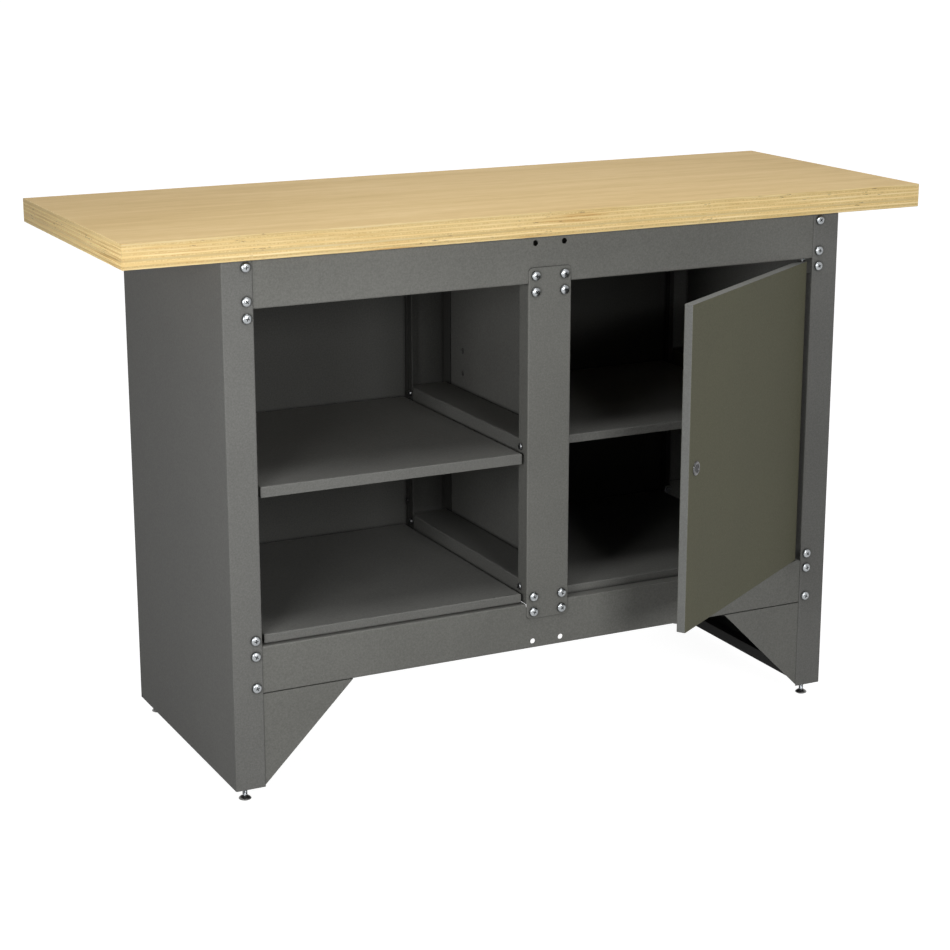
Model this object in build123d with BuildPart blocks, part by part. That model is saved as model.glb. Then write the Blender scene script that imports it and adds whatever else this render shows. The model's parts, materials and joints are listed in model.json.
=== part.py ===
"""Steel workbench: a plywood worktop on a folded sheet cabinet with open shelves and a cupboard.

Millimetres, +X to the right, +Y to the back, +Z up. The bench faces -Y. The origin is on the floor, under the
middle of the bench's box while the cupboard door stands open.
"""
from build123d import *

import os
from math import cos, radians, sin

os.makedirs("parts", exist_ok=True)

# Worktop
bench_height = 890.0
worktop_width = 1390.0
worktop_thickness = 38.0
worktop_front_overhang = 13.0
worktop_back_overhang = 32.0
worktop_edge_round = 1.0

# Cabinet
cabinet_width = 1086.0
cabinet_depth = 463.0
panel_floor_gap = 24.0
frame_sheet = 1.5
frame_bend = 2.5
stile_width = 49.5
return_depth = 30.0
seam = 0.3

# Rails and posts
top_rail_height = 75.0
lower_rail_height = 76.0
lower_rail_bottom = 177.0
rail_flange = 28.5
rail_foot_flange = 16.0
worktop_flange = 40.0
rail_tab = 26.0
post_width = 76.0
post_overlap = 25.0
post_corner = 8.0
gusset_leg = 150.0
gusset_screw_inset = 30.0
gusset_screw_pitch = 60.0

# Frame screws on a hole grid
hole_pitch = 25.5
rail_hole_inset = 11.5
stile_hole_inset = 38.0
post_hole_spacing = 51.0
frame_hole_diameter = 9.0
frame_screw_diameter = 8.0
frame_screw_length = 12.0
frame_head_diameter = 15.0
frame_head_height = 5.0
frame_head_round = 3.0
frame_recess_span = 8.25
frame_recess_depth = 2.5
frame_nut_flats = 13.0
frame_nut_height = 6.5

# Small screws
small_screw_diameter = 6.0
small_hole_diameter = 6.6
small_head_diameter = 10.5
small_head_height = 3.5
small_head_round = 2.1
small_recess_span = 5.8
small_recess_depth = 1.75
small_screw_length = 12.0
small_nut_flats = 10.0
small_nut_height = 5.0
worktop_screw_length = 24.0
worktop_screw_pitch = 290.0
worktop_screw_columns = 4
panel_screw_diameter = 4.0
panel_head_diameter = 8.0
panel_head_height = 2.4
panel_head_round = 1.4
panel_recess_span = 4.4
panel_recess_depth = 1.2
thread_clearance = 0.05
recess_width = 1.6

# Shelves
pan_sheet = 1.0
pan_bend = 2.0
shelf_end_gap = 6.3
shelf_back_gap = 8.0
shelf_height = 17.0
lower_shelf_height = 14.0
lower_shelf_lift = 3.0
left_shelf_setback = 8.0
left_upper_shelf_z = 487.0
cupboard_shelf_height = 13.5
cupboard_floor_setback = 21.5
cupboard_shelf_setback = 36.0
cupboard_shelf_z = 503.5
bracket_rise = 36.0
lower_bracket_rise = 33.0
bracket_ledge = 24.0
bracket_skirt = 20.0
bracket_end_gap = 14.0
bracket_screw_inset = 23.0
bracket_screw_drop = 11.0

# Partition, back panels and pegs
partition_end_gap = 6.0
peg_diameter = 10.0
peg_reach = 20.0
peg_inset = 76.0
spare_hole_rise = 52.0
spare_hole_pitch = 40.0
spare_hole_count = 2
back_panel_lip = 12.0
back_panel_gap = 0.5
back_panel_fit = 0.1
back_panel_screw_inset = 60.0

# Door
door_angle = 33.0
door_thickness = 15.0
door_recess = 0.5
door_free_gap = 2.0
door_top_gap = 5.0
door_bottom_gap = 1.5
door_lip = 14.0
pivot_from_stile = 15.5
pivot_from_edge = 5.0
stiffener_width = 50.0
stiffener_flange = 20.0
stiffener_depth = 12.0
stiffener_end_gap = 8.0

# Hinge pins and bushes
pin_diameter = 6.0
pin_head_diameter = 7.5
pin_head_height = 3.0
pin_reach = 6.0
bush_diameter = 8.0
bush_flange_diameter = 11.0
bush_flange_height = 1.2
bush_depth = 4.0
running_clearance = 0.05

# Lock
lock_from_edge = 25.0
lock_height = 514.0
lock_bezel_diameter = 23.0
lock_bezel_height = 2.0
lock_bezel_round = 1.0
lock_body_diameter = 16.0
lock_body_length = 17.0
lock_nut_flats = 20.0
lock_nut_height = 3.0
plug_diameter = 12.0
key_slot_length = 7.0
key_slot_width = 1.6
key_slot_depth = 6.0
cam_gap = 0.2
cam_thickness = 2.0
cam_width = 14.0
cam_length = 24.0
cam_corner = 4.0
cam_bore_diameter = 6.0
cam_screw_diameter = 4.0
cam_screw_length = 8.0
cam_head_diameter = 9.0
cam_head_height = 2.5
strike_gap = 0.7
strike_reach = 7.0
strike_height = 48.0
strike_sheet = 1.0

# Levelling feet
foot_inset = 22.0
foot_pad_diameter = 20.0
foot_pad_height = 7.0
foot_pad_rim = 3.0
foot_pad_neck_diameter = 12.0
foot_pad_floor = 2.0
foot_stud_diameter = 8.0
foot_stud_spare = 20.0
foot_stud_chamfer = 1.5
foot_rail_lift = 6.0
foot_rail_width = 44.5
foot_rail_flange = 20.0
foot_nut_height = 6.0

# Levels
frame_top = bench_height - worktop_thickness
top_rail_bottom = frame_top - top_rail_height
lower_rail_top = lower_rail_bottom + lower_rail_height
post_top = top_rail_bottom + post_overlap
post_bottom = lower_rail_top - post_overlap
foot_rail_z = panel_floor_gap + foot_rail_lift
return_top = top_rail_bottom - rail_tab - seam
return_bottom = lower_rail_top + rail_tab + seam
door_top = top_rail_bottom - door_top_gap
door_bottom = lower_rail_top + door_bottom_gap

# Places across the bench
side_x = cabinet_width / 2
stile_x = side_x - stile_width
post_x = post_width / 2
stile_hole_x = side_x - stile_hole_inset
post_hole_x = post_hole_spacing / 2
foot_x = side_x - foot_inset
pivot_x = stile_x - pivot_from_stile
door_free_x = post_x + door_free_gap
door_reach = pivot_x - door_free_x

# Places from front to back, with the box centred on the origin while the door is open
pivot_depth = door_recess + door_thickness / 2
door_tip = (
    pivot_depth
    - (door_reach - pan_bend) * sin(radians(door_angle))
    - (door_thickness / 2 - pan_bend) * cos(radians(door_angle))
    - pan_bend
)
front_y = -(door_tip + cabinet_depth + worktop_back_overhang) / 2
back_y = front_y + cabinet_depth
middle_y = (front_y + back_y) / 2
rail_y = front_y + frame_sheet
nut_y = rail_y + frame_sheet
pivot_y = front_y + pivot_depth
shelf_back_y = back_y - shelf_back_gap
back_panel_y = back_y - 2 * frame_sheet - back_panel_gap
back_screw_y = back_panel_y - back_panel_lip / 2
bracket_screw_y = (front_y + bracket_screw_inset, back_y - bracket_screw_inset)

# Planes
middle_plane = Plane.XZ.offset(-middle_y)
door_plane = Plane(
    origin=(pivot_x, pivot_y, 0),
    x_dir=(cos(radians(door_angle)), sin(radians(door_angle)), 0),
    z_dir=(0, 0, 1),
)
lock_place = door_plane.from_local_coords((lock_from_edge - door_reach, -door_thickness / 2, lock_height))
lock_plane = Plane(
    origin=lock_place,
    x_dir=(cos(radians(door_angle)), sin(radians(door_angle)), 0),
    z_dir=(sin(radians(door_angle)), -cos(radians(door_angle)), 0),
)

# Screw rows
top_rows = [frame_top - rail_hole_inset - hole_pitch * step for step in (0, 2, 3)]
lower_rows = [lower_rail_bottom + rail_hole_inset + hole_pitch * step for step in (0, 2, 3)]
stile_holes = [(x, z) for x in (-stile_hole_x, stile_hole_x) for z in top_rows + lower_rows]
post_holes = [(x, z) for x in (-post_hole_x, post_hole_x) for z in top_rows[1:] + lower_rows[1:]]
frame_holes = stile_holes + post_holes
open_holes = [(x, z) for x in (-post_hole_x, post_hole_x) for z in (top_rows[0], lower_rows[0])]
worktop_screw_start = -worktop_screw_pitch * (worktop_screw_columns - 1) / 2
worktop_screw_x = [worktop_screw_start + worktop_screw_pitch * step for step in range(worktop_screw_columns)]
worktop_screw_depth = frame_sheet + worktop_flange / 2
worktop_screw_y = (front_y + worktop_screw_depth, back_y - worktop_screw_depth)
back_screw_z = (lower_rail_top + back_panel_screw_inset, top_rail_bottom - back_panel_screw_inset)
bracket_forms = {
    "lower": (lower_rail_top + lower_shelf_lift, lower_bracket_rise),
    "upper": (left_upper_shelf_z, bracket_rise),
}
bracket_screw_z = [ledge_z + rise - bracket_screw_drop for ledge_z, rise in bracket_forms.values()]
bracket_screw_spots = [(y, z) for y in bracket_screw_y for z in bracket_screw_z]
strike_spot = (bracket_screw_y[0], bracket_screw_z[-1])
right_screw_spots = [spot for spot in bracket_screw_spots if spot != strike_spot]
gusset_screw_x = [stile_x - gusset_screw_inset - gusset_screw_pitch * step for step in (0, 1)]
gusset_screw_y = rail_y + (frame_bend + rail_foot_flange) / 2
peg_z = cupboard_shelf_z - peg_diameter / 2 - thread_clearance
spare_hole_z = [peg_z + spare_hole_rise + spare_hole_pitch * step for step in range(spare_hole_count)]


def xz_plane(y):
    """Upright plane across the bench at depth y, facing the front."""
    return Plane.XZ.offset(-y)


def folded(points, sheet, bend, side):
    """Section of a bent sheet: its skin runs through the points and its thickness lies on one side."""
    with BuildSketch() as strip:
        with BuildLine():
            FilletPolyline(*points, radius=bend)
            offset(amount=sheet, side=side)
        make_face()
    return strip.sketch


def recess_screw(diameter, length, head_diameter, head_height, head_round, recess_span, recess_depth):
    """Pan-head screw with a cross recess, its head on top of the XY plane and its shank below."""
    with BuildPart() as screw:
        with BuildSketch():
            Circle(head_diameter / 2)
        extrude(amount=head_height)
        fillet(screw.edges().sort_by(Axis.Z)[-1], radius=head_round)
        with BuildSketch():
            Circle(diameter / 2)
        extrude(amount=-length)
        with BuildSketch(Plane.XY.offset(head_height)):
            Rectangle(recess_span, recess_width)
            Rectangle(recess_width, recess_span)
        extrude(amount=-recess_depth, mode=Mode.SUBTRACT)
    return screw.part


def hex_nut(flats, height, bore_diameter):
    """Hexagon nut standing on the XY plane, with clearance for the screw in its bore."""
    with BuildPart() as nut:
        with BuildSketch():
            RegularPolygon(flats / 2, 6, major_radius=False)
            Circle(bore_diameter / 2 + thread_clearance, mode=Mode.SUBTRACT)
        extrude(amount=height)
    return nut.part


# Worktop: a thick plywood slab with softened edges, drilled from below for its screws
with BuildPart() as worktop:
    with BuildSketch(Plane.XY.offset(frame_top)):
        with Locations((0, middle_y + (worktop_back_overhang - worktop_front_overhang) / 2)):
            Rectangle(worktop_width, cabinet_depth + worktop_front_overhang + worktop_back_overhang)
    extrude(amount=worktop_thickness)
    fillet(worktop.edges(), radius=worktop_edge_round)
    with BuildSketch(Plane.XY.offset(frame_top)):
        with Locations(*[(x, y) for x in worktop_screw_x for y in worktop_screw_y]):
            Circle(small_screw_diameter / 2 + thread_clearance)
    extrude(amount=worktop_screw_length, mode=Mode.SUBTRACT)
worktop.part.label = "worktop"
export_step(worktop.part, "parts/worktop.step")

# Side panels: one sheet folded into a side, front and back stiles and their returns, notched for the rails
side_section = folded(
    [
        (-stile_x, front_y + return_depth),
        (-stile_x, front_y),
        (-side_x, front_y),
        (-side_x, back_y),
        (-stile_x, back_y),
        (-stile_x, back_y - return_depth),
    ],
    frame_sheet,
    frame_bend,
    Side.RIGHT,
)
notch_width = 2 * (frame_bend + frame_sheet)
with BuildPart() as left_side_panel:
    with BuildSketch(Plane.XY.offset(panel_floor_gap)):
        add(side_section)
    extrude(amount=frame_top - panel_floor_gap)
    for notch_bottom, notch_top in ((panel_floor_gap, return_bottom), (return_top, frame_top)):
        with BuildSketch(Plane.XY.offset(notch_bottom)):
            with Locations((-stile_x, middle_y)):
                Rectangle(notch_width, cabinet_depth - 2 * frame_sheet)
        extrude(amount=notch_top - notch_bottom, mode=Mode.SUBTRACT)
    with BuildSketch(xz_plane(back_y)):
        with Locations(*[(x, z) for x, z in stile_holes if x < 0]):
            Circle(frame_hole_diameter / 2)
    extrude(amount=cabinet_depth, mode=Mode.SUBTRACT)
    with BuildSketch(Plane.YZ.offset(-stile_x)):
        with Locations(*[(back_screw_y, z) for z in back_screw_z]):
            Circle(panel_screw_diameter / 2 + thread_clearance)
    extrude(amount=-2 * frame_sheet, mode=Mode.SUBTRACT)
left_side_panel.part.label = "left_side_panel"
export_step(left_side_panel.part, "parts/left_side_panel.step")

with BuildPart() as right_side_panel:
    mirror(left_side_panel.part, about=Plane.YZ)
right_side_panel.part.label = "right_side_panel"
export_step(right_side_panel.part, "parts/right_side_panel.step")

# Rails: a folded channel behind the stiles, with flat tabs behind each stile and behind the centre post
rail_half = side_x - frame_bend - seam
centre_tab_half = post_x - frame_bend - seam
tab_zones = [
    (-rail_half, -stile_x - seam),
    (-centre_tab_half, centre_tab_half),
    (stile_x + seam, rail_half),
]
flange_cuts = [
    (-rail_half - seam, -stile_x),
    (-post_x - seam, post_x + seam),
    (stile_x, rail_half + seam),
]
top_rail_section = folded(
    [
        (rail_y + worktop_flange, frame_top),
        (rail_y, frame_top),
        (rail_y, top_rail_bottom),
        (rail_y + rail_flange, top_rail_bottom),
    ],
    frame_sheet,
    frame_bend,
    Side.LEFT,
)
lower_rail_section = folded(
    [
        (rail_y + rail_flange, lower_rail_top),
        (rail_y, lower_rail_top),
        (rail_y, lower_rail_bottom),
        (rail_y + rail_foot_flange, lower_rail_bottom),
    ],
    frame_sheet,
    frame_bend,
    Side.LEFT,
)
with BuildPart() as top_rail_blank:
    with BuildSketch(Plane.YZ):
        add(top_rail_section)
    extrude(amount=rail_half, both=True)
    with BuildSketch(xz_plane(rail_y)):
        for near, far in flange_cuts:
            with Locations(((near + far) / 2, top_rail_bottom + frame_bend)):
                Rectangle(far - near, 2 * frame_bend)
    extrude(amount=-rail_flange, mode=Mode.SUBTRACT)
    with BuildSketch(xz_plane(rail_y)):
        for near, far in tab_zones:
            with Locations(((near + far) / 2, top_rail_bottom - rail_tab / 2 + frame_bend)):
                Rectangle(far - near, rail_tab + 2 * frame_bend)
    extrude(amount=-frame_sheet)
    with BuildSketch(xz_plane(rail_y)):
        with Locations(*frame_holes, *open_holes):
            Circle(frame_hole_diameter / 2)
    extrude(amount=-frame_sheet, mode=Mode.SUBTRACT)
    with BuildSketch(Plane.XY.offset(frame_top)):
        with Locations(*[(x, worktop_screw_y[0]) for x in worktop_screw_x]):
            Circle(small_hole_diameter / 2)
    extrude(amount=-frame_sheet, mode=Mode.SUBTRACT)

with BuildPart() as front_top_rail:
    add(top_rail_blank.part)
    with BuildSketch(Plane.XY.offset(top_rail_bottom)):
        with Locations((pivot_x, pivot_y)):
            Circle(bush_diameter / 2 + running_clearance)
    extrude(amount=frame_sheet, mode=Mode.SUBTRACT)
front_top_rail.part.label = "front_top_rail"
export_step(front_top_rail.part, "parts/front_top_rail.step")

with BuildPart() as rear_top_rail:
    mirror(top_rail_blank.part, about=middle_plane)
rear_top_rail.part.label = "rear_top_rail"
export_step(rear_top_rail.part, "parts/rear_top_rail.step")

with BuildPart() as lower_rail_blank:
    with BuildSketch(Plane.YZ):
        add(lower_rail_section)
    extrude(amount=rail_half, both=True)
    with BuildSketch(xz_plane(rail_y)):
        for near, far in flange_cuts:
            with Locations(((near + far) / 2, lower_rail_top - frame_bend)):
                Rectangle(far - near, 2 * frame_bend)
    extrude(amount=-rail_flange, mode=Mode.SUBTRACT)
    with BuildSketch(xz_plane(rail_y)):
        for near, far in tab_zones:
            with Locations(((near + far) / 2, lower_rail_top + rail_tab / 2 - frame_bend)):
                Rectangle(far - near, rail_tab + 2 * frame_bend)
    extrude(amount=-frame_sheet)
    with BuildSketch(xz_plane(rail_y)):
        with Locations(*frame_holes, *open_holes):
            Circle(frame_hole_diameter / 2)
    extrude(amount=-frame_sheet, mode=Mode.SUBTRACT)

with BuildPart() as front_lower_rail:
    add(lower_rail_blank.part)
    with BuildSketch(Plane.XY.offset(lower_rail_top)):
        with Locations((pivot_x, pivot_y)):
            Circle(bush_diameter / 2 + running_clearance)
    extrude(amount=-frame_sheet, mode=Mode.SUBTRACT)
    with BuildSketch(Plane.XY.offset(lower_rail_bottom)):
        with Locations(*[(side * x, gusset_screw_y) for side in (-1, 1) for x in gusset_screw_x]):
            Circle(small_hole_diameter / 2)
    extrude(amount=frame_sheet, mode=Mode.SUBTRACT)
front_lower_rail.part.label = "front_lower_rail"
export_step(front_lower_rail.part, "parts/front_lower_rail.step")

with BuildPart() as rear_lower_rail:
    mirror(lower_rail_blank.part, about=middle_plane)
rear_lower_rail.part.label = "rear_lower_rail"
export_step(rear_lower_rail.part, "parts/rear_lower_rail.step")

# Centre posts: channels whose faces overlap the rails and whose flanges stop between them
post_section = folded(
    [
        (-post_x, front_y + return_depth),
        (-post_x, front_y),
        (post_x, front_y),
        (post_x, front_y + return_depth),
    ],
    frame_sheet,
    frame_bend,
    Side.LEFT,
)
with BuildPart() as post_blank:
    with BuildSketch(Plane.XY.offset(post_bottom)):
        add(post_section)
    extrude(amount=post_top - post_bottom)
    with BuildSketch(xz_plane(front_y)):
        with Locations((0, (post_top + post_bottom) / 2)):
            RectangleRounded(post_width, post_top - post_bottom, post_corner)
    extrude(amount=-return_depth, mode=Mode.INTERSECT)
    for notch_bottom, notch_top in ((post_bottom, lower_rail_top + seam), (top_rail_bottom - seam, post_top)):
        with BuildSketch(xz_plane(rail_y)):
            with Locations((0, (notch_bottom + notch_top) / 2)):
                Rectangle(post_width, notch_top - notch_bottom)
        extrude(amount=-return_depth, mode=Mode.SUBTRACT)
    with BuildSketch(xz_plane(front_y)):
        with Locations(*post_holes):
            Circle(frame_hole_diameter / 2)
    extrude(amount=-frame_sheet, mode=Mode.SUBTRACT)
    with BuildSketch(Plane.YZ.offset(-post_x)):
        with Locations(*[(bracket_screw_y[0], z) for z in bracket_screw_z]):
            Circle(small_hole_diameter / 2)
    extrude(amount=post_width, mode=Mode.SUBTRACT)

with BuildPart() as front_centre_post:
    add(post_blank.part)
front_centre_post.part.label = "front_centre_post"
export_step(front_centre_post.part, "parts/front_centre_post.step")

with BuildPart() as rear_centre_post:
    mirror(post_blank.part, about=middle_plane)
    with BuildSketch(Plane.YZ.offset(-post_x)):
        with Locations(*[(back_screw_y, z) for z in back_screw_z]):
            Circle(panel_screw_diameter / 2 + thread_clearance)
    extrude(amount=post_width, mode=Mode.SUBTRACT)
rear_centre_post.part.label = "rear_centre_post"
export_step(rear_centre_post.part, "parts/rear_centre_post.step")

# Centre partition: a flat sheet on the cupboard side of the posts, with peg holes for the cupboard shelf
peg_y = (front_y + peg_inset, back_y - peg_inset)
with BuildPart() as centre_partition:
    with BuildSketch(Plane.YZ.offset(post_x)):
        with Locations((middle_y, (top_rail_bottom + lower_rail_top) / 2)):
            Rectangle(cabinet_depth - 2 * partition_end_gap, top_rail_bottom - lower_rail_top - 2 * seam)
        with Locations(*[(y, z) for y in peg_y for z in (peg_z, *spare_hole_z)]):
            Circle(peg_diameter / 2 + thread_clearance, mode=Mode.SUBTRACT)
        with Locations(*right_screw_spots):
            Circle(small_hole_diameter / 2, mode=Mode.SUBTRACT)
        with Locations(*[(back_screw_y, z) for z in back_screw_z]):
            Circle(panel_screw_diameter / 2 + thread_clearance, mode=Mode.SUBTRACT)
    extrude(amount=pan_sheet)
centre_partition.part.label = "centre_partition"
export_step(centre_partition.part, "parts/centre_partition.step")

# Back panels: thin sheets between the rear stile and the rear post, with side lips for their screws
back_panel_ends = {
    "left_back_panel": (-stile_x + back_panel_fit, -post_x - back_panel_fit),
    "right_back_panel": (post_x + pan_sheet + back_panel_fit, stile_x - back_panel_fit),
}
for panel_name, (panel_start, panel_end) in back_panel_ends.items():
    panel_section = folded(
        [
            (panel_start, back_panel_y - back_panel_lip),
            (panel_start, back_panel_y),
            (panel_end, back_panel_y),
            (panel_end, back_panel_y - back_panel_lip),
        ],
        pan_sheet,
        pan_bend,
        Side.RIGHT,
    )
    with BuildPart() as back_panel:
        with BuildSketch(Plane.XY.offset(lower_rail_top + back_panel_fit)):
            add(panel_section)
        extrude(amount=top_rail_bottom - lower_rail_top - 2 * back_panel_fit)
        with BuildSketch(Plane.YZ.offset(panel_start)):
            with Locations(*[(back_screw_y, z) for z in back_screw_z]):
                Circle(panel_screw_diameter / 2 + thread_clearance)
        extrude(amount=panel_end - panel_start, mode=Mode.SUBTRACT)
    back_panel.part.label = panel_name
    export_step(back_panel.part, f"parts/{panel_name}.step")

# Gussets: triangular plates under the lower rail, with a tab behind the stile and a lip under the rail
gusset_top = lower_rail_bottom - seam
gusset_tip = lower_rail_bottom - gusset_leg
gusset_inner = -stile_x + gusset_leg
with BuildPart() as left_gusset:
    with BuildSketch(xz_plane(rail_y)):
        with BuildLine():
            Polyline(
                (-rail_half, gusset_top),
                (gusset_inner, gusset_top),
                (-stile_x, gusset_tip),
                (-rail_half, gusset_tip),
                close=True,
            )
        make_face()
    extrude(amount=-frame_sheet)
    with BuildSketch(xz_plane(rail_y)):
        with BuildLine():
            Polyline(
                (-stile_x + seam, gusset_top),
                (gusset_inner, gusset_top),
                (gusset_inner - frame_sheet, gusset_top - frame_sheet),
                (-stile_x + seam, gusset_top - frame_sheet),
                close=True,
            )
        make_face()
    extrude(amount=-rail_foot_flange)
    with BuildSketch(Plane.XY.offset(gusset_top)):
        with Locations(*[(-x, gusset_screw_y) for x in gusset_screw_x]):
            Circle(small_hole_diameter / 2)
    extrude(amount=-frame_sheet, mode=Mode.SUBTRACT)
left_gusset.part.label = "left_gusset"
export_step(left_gusset.part, "parts/left_gusset.step")

with BuildPart() as right_gusset:
    mirror(left_gusset.part, about=Plane.YZ)
right_gusset.part.label = "right_gusset"
export_step(right_gusset.part, "parts/right_gusset.step")

# Shelves: pans of thin sheet with an edge folded down all round, open below
shelf_width = stile_x - post_x - 2 * shelf_end_gap
shelf_centre_x = (stile_x + post_x) / 2
shelf_forms = {
    "left_lower_shelf": (-shelf_centre_x, left_shelf_setback, bracket_forms["lower"][0], lower_shelf_height),
    "left_upper_shelf": (-shelf_centre_x, left_shelf_setback, left_upper_shelf_z, shelf_height),
    "cupboard_floor": (shelf_centre_x, cupboard_floor_setback, lower_rail_top, cupboard_shelf_height),
    "cupboard_shelf": (shelf_centre_x, cupboard_shelf_setback, cupboard_shelf_z, cupboard_shelf_height),
}
for shelf_name, (shelf_x, setback, shelf_z, edge_height) in shelf_forms.items():
    shelf_front_y = front_y + setback
    with BuildPart() as shelf:
        with BuildSketch(Plane.XY.offset(shelf_z)):
            with Locations((shelf_x, (shelf_front_y + shelf_back_y) / 2)):
                Rectangle(shelf_width, shelf_back_y - shelf_front_y)
        extrude(amount=edge_height)
        fillet(shelf.edges().group_by(Axis.Z)[-1], radius=pan_bend)
        offset(amount=-pan_sheet, openings=shelf.faces().sort_by(Axis.Z)[0])
    shelf.part.label = shelf_name
    export_step(shelf.part, f"parts/{shelf_name}.step")

# Shelf brackets: folded strips from front to back, with a ledge under the end of a shelf
bracket_length = cabinet_depth - 2 * bracket_end_gap
ledge_length = cabinet_depth - 2 * (return_depth + seam)
ledge_cut_length = (bracket_length - ledge_length) / 2
ledge_cut_y = [middle_y + end * (ledge_length + ledge_cut_length) / 2 for end in (-1, 1)]
centre_leg_x = -post_x + frame_sheet
centre_skirt_x = post_x - frame_sheet
side_skirt_x = -side_x + frame_sheet
side_leg_x = -stile_x - frame_sheet - seam


def side_bracket(ledge_z, rise):
    """Bracket inside the left side panel, its leg behind the panel's returns."""
    section = folded(
        [
            (side_skirt_x, ledge_z + rise - bracket_skirt),
            (side_skirt_x, ledge_z + rise),
            (side_leg_x, ledge_z + rise),
            (side_leg_x, ledge_z),
            (side_leg_x + bracket_ledge, ledge_z),
        ],
        frame_sheet,
        frame_bend,
        Side.RIGHT,
    )
    with BuildPart() as bracket:
        with BuildSketch(xz_plane(middle_y)):
            add(section)
        extrude(amount=bracket_length / 2, both=True)
        with BuildSketch(Plane.XY.offset(ledge_z - frame_sheet)):
            with Locations(*[(side_leg_x + bracket_ledge / 2, y) for y in ledge_cut_y]):
                Rectangle(bracket_ledge, ledge_cut_length)
        extrude(amount=rise, mode=Mode.SUBTRACT)
    return bracket.part


for level_name, (ledge_z, rise) in bracket_forms.items():
    bracket_top = ledge_z + rise
    centre_section = folded(
        [
            (centre_leg_x - bracket_ledge, ledge_z),
            (centre_leg_x, ledge_z),
            (centre_leg_x, bracket_top),
            (centre_skirt_x, bracket_top),
            (centre_skirt_x, bracket_top - bracket_skirt),
        ],
        frame_sheet,
        frame_bend,
        Side.RIGHT,
    )
    with BuildPart() as centre_bracket:
        with BuildSketch(xz_plane(middle_y)):
            add(centre_section)
        extrude(amount=bracket_length / 2, both=True)
        with BuildSketch(Plane.XY.offset(ledge_z - frame_sheet)):
            with Locations(*[(centre_leg_x - bracket_ledge / 2, y) for y in ledge_cut_y]):
                Rectangle(bracket_ledge, ledge_cut_length)
        extrude(amount=rise, mode=Mode.SUBTRACT)
        with BuildSketch(Plane.YZ.offset(centre_leg_x)):
            with Locations(*[(y, bracket_top - bracket_screw_drop) for y in bracket_screw_y]):
                Circle(small_hole_diameter / 2)
        extrude(amount=centre_skirt_x - centre_leg_x, mode=Mode.SUBTRACT)
    centre_bracket.part.label = f"centre_{level_name}_bracket"
    export_step(centre_bracket.part, f"parts/centre_{level_name}_bracket.step")

    with BuildPart() as left_bracket:
        add(side_bracket(ledge_z, rise))
    left_bracket.part.label = f"left_{level_name}_bracket"
    export_step(left_bracket.part, f"parts/left_{level_name}_bracket.step")

with BuildPart() as right_upper_bracket:
    mirror(side_bracket(cupboard_shelf_z, bracket_rise), about=Plane.YZ)
right_upper_bracket.part.label = "right_upper_bracket"
export_step(right_upper_bracket.part, "parts/right_upper_bracket.step")

# Foot rails: channels inside the side panels that carry the levelling feet
foot_rail_length = cabinet_depth - 2 * (2 * frame_sheet + seam)
foot_places = {
    "front_left": (-foot_x, front_y + foot_inset),
    "front_right": (foot_x, front_y + foot_inset),
    "rear_left": (-foot_x, back_y - foot_inset),
    "rear_right": (foot_x, back_y - foot_inset),
}
foot_rail_section = folded(
    [
        (side_skirt_x, foot_rail_z + foot_rail_flange),
        (side_skirt_x, foot_rail_z),
        (side_skirt_x + foot_rail_width, foot_rail_z),
        (side_skirt_x + foot_rail_width, foot_rail_z + foot_rail_flange),
    ],
    frame_sheet,
    frame_bend,
    Side.LEFT,
)
with BuildPart() as left_foot_rail:
    with BuildSketch(xz_plane(middle_y)):
        add(foot_rail_section)
    extrude(amount=foot_rail_length / 2, both=True)
    with BuildSketch(Plane.XY.offset(foot_rail_z)):
        with Locations(*[(x, y) for x, y in foot_places.values() if x < 0]):
            Circle(frame_hole_diameter / 2)
    extrude(amount=frame_sheet, mode=Mode.SUBTRACT)
left_foot_rail.part.label = "left_foot_rail"
export_step(left_foot_rail.part, "parts/left_foot_rail.step")

with BuildPart() as right_foot_rail:
    mirror(left_foot_rail.part, about=Plane.YZ)
right_foot_rail.part.label = "right_foot_rail"
export_step(right_foot_rail.part, "parts/right_foot_rail.step")

# Levelling feet: a stud in a domed pad, a weld nut above the foot rail and a lock nut below it
weld_nut = hex_nut(frame_nut_flats, frame_nut_height, foot_stud_diameter)
lock_ring = hex_nut(frame_nut_flats, foot_nut_height, foot_stud_diameter)
stud_top = foot_rail_z + frame_sheet + frame_nut_height + foot_stud_spare
with BuildPart() as foot_weld_nuts:
    with Locations(*[(x, y, foot_rail_z + frame_sheet) for x, y in foot_places.values()]):
        add(weld_nut)
foot_weld_nuts.part.label = "foot_weld_nuts"
export_step(foot_weld_nuts.part, "parts/foot_weld_nuts.step")

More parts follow.
